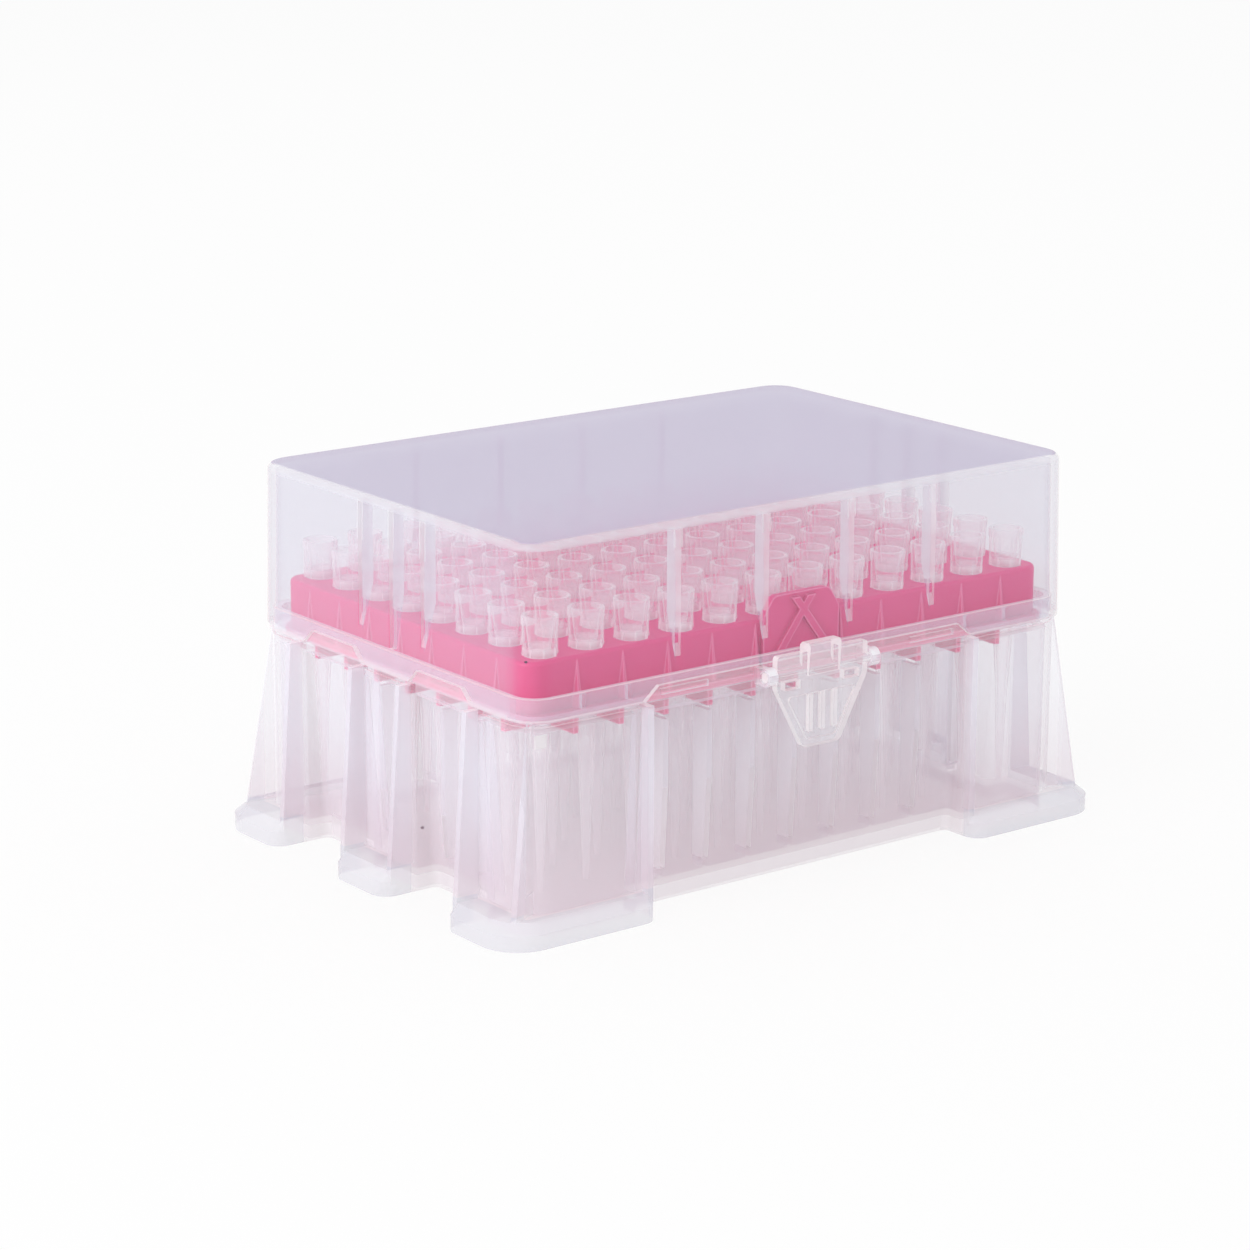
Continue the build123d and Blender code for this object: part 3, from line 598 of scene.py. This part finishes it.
class TIPBOX_OT_details(bpy.types.Operator):
    """Ribs round the tip collars and small moulding marks"""

    bl_idname = "tipbox.details"
    bl_label = "Add the small details"

    def execute(self, context):
        self.trim(context, sizes())
        self.marks(context, colours())
        self.patch(context, colours())
        return {"FINISHED"}

    def trim(self, context, s):
        """Eight upright ribs and a mouth ring on each tip collar, all in one piece."""
        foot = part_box("rack")[1][2] - COLLAR_SUNK
        verts, faces = [], []
        for low, high in (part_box(name) for name in named("tips_column")):
            x = (low[0] + high[0]) / 2
            for row in range(ROWS):
                y = (row - (ROWS - 1) / 2) * PITCH
                for k in range(s.rib_count):
                    self.rib(verts, faces, x, y, 2 * math.pi * (k + 0.5) / s.rib_count,
                             foot, s)
                self.ring(verts, faces, x, y, COLLAR_R[1] + 0.03 * MM,
                          high[2] - MOUTH_RING, high[2])
        self.piece(context, "tip_ribs", verts, faces, bpy.data.materials["clear_tip"],
                   "tip_plastic")

    def marks(self, context, c):
        """A speck in the side wall and a gate mark on the rack."""
        dark, tree, shader = new_material("dark_speck")
        skin = use_group(tree, mould_skin(), {"Grain Scale": 9000.0, "Grain": 0.4})
        tree.links.new(skin.outputs["Normal"], shader.inputs["Normal"])
        tree.links.new(mix_colour(tree, skin.outputs["Cloud"], rgba(c.speck),
                                  rgba([v * 0.5 for v in c.speck])),
                       shader.inputs["Base Color"])
        shader.inputs["Roughness"].default_value = 0.7
        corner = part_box("rack")[0]
        gate_at = (corner[0] + GATE_INSET[0], corner[1] + GATE_INSET[1], DECK_MARK)
        for name, spot, radius, slot in (
                ("wall_speck", SPECK_AT, SPECK_R, "base_plastic"),
                ("gate_mark", gate_at, GATE_R, "rack_plastic")):
            self.piece(context, name, *self.fleck(spot, radius), dark, slot)

    def fleck(self, spot, radius, sides=8, levels=3):
        """A small uneven bead."""
        verts, faces = [], []
        for level in range(1, levels + 1):
            tilt = math.pi * level / (levels + 1)
            for k in range(sides):
                turn = 2 * math.pi * k / sides
                bump = radius * (1 + 0.18 * math.sin(3 * turn + level))
                verts.append((spot[0] + bump * math.sin(tilt) * math.cos(turn),
                              spot[1] + bump * math.sin(tilt) * math.sin(turn),
                              spot[2] + 0.8 * radius * math.cos(tilt)))
        self.bands(faces, 0, sides, levels)
        last = sides * (levels - 1)
        faces += [tuple(range(sides - 1, -1, -1)), tuple(range(last, last + sides))]
        return verts, faces

    def patch(self, context, c):
        """A square patch with sloped sides on the near corner leg."""
        x0, x1, z0, z1 = PATCH
        verts = [(x, PATCH_FACE + PATCH_DEPTH, z)
                 for x, z in ((x0, z0), (x1, z0), (x1, z1), (x0, z1))]
        d = PATCH_SLOPE
        verts += [(x, PATCH_FACE, z) for x, z in (
            (x0 + d, z0 + d), (x1 - d, z0 + d), (x1 - d, z1 - d), (x0 + d, z1 - d))]
        faces = [(4, 5, 6, 7), (0, 1, 5, 4), (1, 2, 6, 5), (2, 3, 7, 6), (3, 0, 4, 7)]
        plastic, tree, shader, alpha = clear_plastic(
            "patch_plastic", COVER["patch"], COVER["turned_edge_highlight"], 0.2)
        # the patch takes the same white as the painted highlights
        set_cover(tree, shader, alpha, rgba(c.highlight_white), rgba(c.highlight_white))
        self.piece(context, "leg_patch", verts, faces, plastic, "base_plastic")

    def rib(self, verts, faces, x, y, turn, foot, s):
        """One upright rib that widens into a small rounded foot."""
        out = Vector((math.cos(turn), math.sin(turn), 0))
        side = Vector((-out.y, out.x, 0))
        start = len(verts)
        sunk = -0.1 * MM
        # height, share of the depth and width at each row of points
        rows = ((foot, 1.0, 0.42 * MM), (foot + 0.35 * MM, 1.25, 0.46 * MM),
                (foot + 0.7 * MM, 0.8, 0.34 * MM), (foot + s.rib_height, 0.6, 0.28 * MM),
                (foot + s.rib_height + 0.5 * MM, 0.0, 0.2 * MM))
        for z, depth, width in rows:
            wall = COLLAR_R[0] + (COLLAR_R[1] - COLLAR_R[0]) * (z - foot) / COLLAR_HEIGHT
            for across, reach in ((-1, sunk), (-0.6, s.rib_out * depth),
                                  (0.6, s.rib_out * depth), (1, sunk)):
                spot = out * (wall + reach) + side * (across * width / 2)
                verts.append((x + spot.x, y + spot.y, z))
        for level in range(len(rows) - 1):
            for k in range(3):
                a = start + level * 4 + k
                faces.append((a, a + 1, a + 5, a + 4))
        faces.append((start, start + 3, start + 2, start + 1))

    def ring(self, verts, faces, x, y, radius, low, high, sides=24):
        """The smooth band round a tip mouth."""
        start = len(verts)
        rows = ((low, radius - 0.1 * MM), (low + 0.12 * MM, radius + 0.06 * MM),
                (high - 0.15 * MM, radius + 0.08 * MM),
                (high - 0.02 * MM, radius - 0.05 * MM))
        for z, r in rows:
            for k in range(sides):
                turn = 2 * math.pi * k / sides
                verts.append((x + r * math.cos(turn), y + r * math.sin(turn), z))
        self.bands(faces, start, sides, len(rows))

    def bands(self, faces, start, sides, levels):
        """Faces between closed rows of points."""
        for level in range(levels - 1):
            for k in range(sides):
                a = start + level * sides + k
                b = start + level * sides + (k + 1) % sides
                faces.append((a, b, b + sides, a + sides))

    def piece(self, context, name, verts, faces, material, slot):
        """A new piece that rides with the base."""
        mesh = bpy.data.meshes.new(name)
        mesh.from_pydata([tuple(v) for v in verts], [], faces)
        mesh.update()
        mesh.materials.append(material)
        made = bpy.data.objects.new(name, mesh)
        context.scene.collection.objects.link(made)
        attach(made, "base")


class TIPBOX_OT_filters(bpy.types.Operator):
    """Porous filter plugs"""

    bl_idname = "tipbox.filters"
    bl_label = "Finish the filters"

    def execute(self, context):
        material, tree, shader = new_material("porous_filter")
        skin = use_group(tree, mould_skin(), {"Ripple": 0.0, "Grain": 0.6,
                                              "Grain Scale": 5000.0})
        tree.links.new(skin.outputs["Normal"], shader.inputs["Normal"])
        shader.inputs["Base Color"].default_value = rgba(colours().wad)
        shader.inputs["Roughness"].default_value = 0.9
        dress(named("filters_column"), material)
        return {"FINISHED"}


class TIPBOX_OT_stage(bpy.types.Operator):
    """Pale floor, soft lamps, surround light and camera"""

    bl_idname = "tipbox.stage"
    bl_label = "Build the stage"

    def seen(self, tree):
        """One for camera, glossy and transmission rays, zero for the light on surfaces."""
        rays = add_node(tree, "ShaderNodeLightPath").outputs
        eye = calc(tree, "MAXIMUM", rays["Is Camera Ray"], rays["Is Glossy Ray"])
        return calc(tree, "MAXIMUM", eye, rays["Is Transmission Ray"])

    def execute(self, context):
        s = sizes()
        self.floor(context, colours())
        self.surround(context, s)
        self.lamps(context, s)
        self.camera(context, s)
        context.scene.view_settings.view_transform = "Standard"
        # one line of sight passes the walls of many tips, each with two sides
        context.scene.cycles.transparent_max_bounces = 32
        return {"FINISHED"}

    def floor(self, context, c, reach=4.0):
        """A floor that looks nearly white and keeps the shadow of the box."""
        mesh = bpy.data.meshes.new("floor")
        mesh.from_pydata([(-reach, -reach, 0), (reach, -reach, 0), (reach, reach, 0),
                          (-reach, reach, 0)], [], [(0, 1, 2, 3)])
        floor = bpy.data.objects.new("floor", mesh)
        context.scene.collection.objects.link(floor)
        material = bpy.data.materials.new("pale_floor")
        material.use_nodes = True
        tree = material.node_tree
        tree.nodes.clear()
        plain = add_node(tree, "ShaderNodeBsdfDiffuse", {"Color": rgba(c.floor)})
        white = add_node(tree, "ShaderNodeEmission", {"Color": (1, 1, 1, 1), "Strength": 1.0})
        seen = add_node(tree, "ShaderNodeMapRange", {
            "Value": self.seen(tree), "To Min": 0.0, "To Max": 0.88})
        both = add_node(tree, "ShaderNodeMixShader", {
            0: seen.outputs[0], 1: plain.outputs[0], 2: white.outputs[0]})
        out = add_node(tree, "ShaderNodeOutputMaterial")
        tree.links.new(both.outputs[0], out.inputs["Surface"])
        mesh.materials.append(material)

    def surround(self, context, s):
        """White where it is seen, a little dimmer as light."""
        world = bpy.data.worlds.new("surround")
        context.scene.world = world
        world.use_nodes = True
        tree = world.node_tree
        tree.nodes.clear()
        strength = add_node(tree, "ShaderNodeMapRange", {
            "Value": self.seen(tree), "To Min": s.sky, "To Max": 1.0})
        light = add_node(tree, "ShaderNodeBackground", {
            "Color": (1, 1, 1, 1), "Strength": strength.outputs[0]})
        out = add_node(tree, "ShaderNodeOutputWorld")
        tree.links.new(light.outputs[0], out.inputs["Surface"])

    def lamps(self, context, s):
        """Square lamps that look at the middle of the box, places and sizes in metres."""
        centre = Vector((0, 0, 0.03))
        for name, place, size, power in (
                ("key", (-1.1, -0.1, 0.7), 0.7, s.key_light),
                ("side", (1.0, -0.4, 0.5), 0.8, s.fill_light),
                ("back", (0.1, 0.9, 0.8), 0.9, s.fill_light)):
            lamp = bpy.data.lights.new(name, "AREA")
            lamp.shape = "SQUARE"
            lamp.size = size
            lamp.energy = power
            made = bpy.data.objects.new(name, lamp)
            made.location = place
            made.rotation_euler = (centre - Vector(place)).to_track_quat("-Z", "Y").to_euler()
            context.scene.collection.objects.link(made)

    def camera(self, context, s):
        """A camera turned about its target."""
        lens = bpy.data.cameras.new("camera")
        lens.lens = s.lens
        lens.sensor_width = 36.0
        camera = bpy.data.objects.new("camera", lens)
        target = Vector(s.target)
        away = Vector((math.sin(s.azimuth) * math.cos(s.elevation),
                       -math.cos(s.azimuth) * math.cos(s.elevation), math.sin(s.elevation)))
        turn = (-away).to_track_quat("-Z", "Y").to_matrix().to_4x4()
        camera.matrix_world = (Matrix.Translation(target + away * s.distance) @ turn
                               @ Matrix.Rotation(s.roll, 4, "Z"))
        context.scene.collection.objects.link(camera)
        context.scene.camera = camera


class TIPBOX_PT_panel(bpy.types.Panel):
    """Sizes, colours and building steps"""

    bl_idname = "TIPBOX_PT_panel"
    bl_label = "Tip box"
    bl_space_type = "VIEW_3D"
    bl_region_type = "UI"
    bl_category = "Tip box"

    def draw(self, context):
        for owner in (colours(), sizes()):
            for name in owner.__annotations__:
                self.layout.prop(owner, name)
        for step in STEPS:
            self.layout.operator(step.bl_idname)


STEPS = (TIPBOX_OT_lid, TIPBOX_OT_latch, TIPBOX_OT_base, TIPBOX_OT_rack, TIPBOX_OT_tips,
         TIPBOX_OT_details, TIPBOX_OT_filters, TIPBOX_OT_stage)
CLASSES = (TipBoxColours, TipBoxSizes, *STEPS, TIPBOX_PT_panel)


def register():
    for made in CLASSES:
        bpy.utils.register_class(made)
    bpy.types.Scene.tip_box_colours = PointerProperty(type=TipBoxColours)
    bpy.types.Scene.tip_box_sizes = PointerProperty(type=TipBoxSizes)


def unregister():
    del bpy.types.Scene.tip_box_sizes
    del bpy.types.Scene.tip_box_colours
    for made in reversed(CLASSES):
        bpy.utils.unregister_class(made)


def main():
    register()
    for step in STEPS:
        area, name = step.bl_idname.split(".")
        getattr(getattr(bpy.ops, area), name)()


if __name__ == "__main__":
    main()
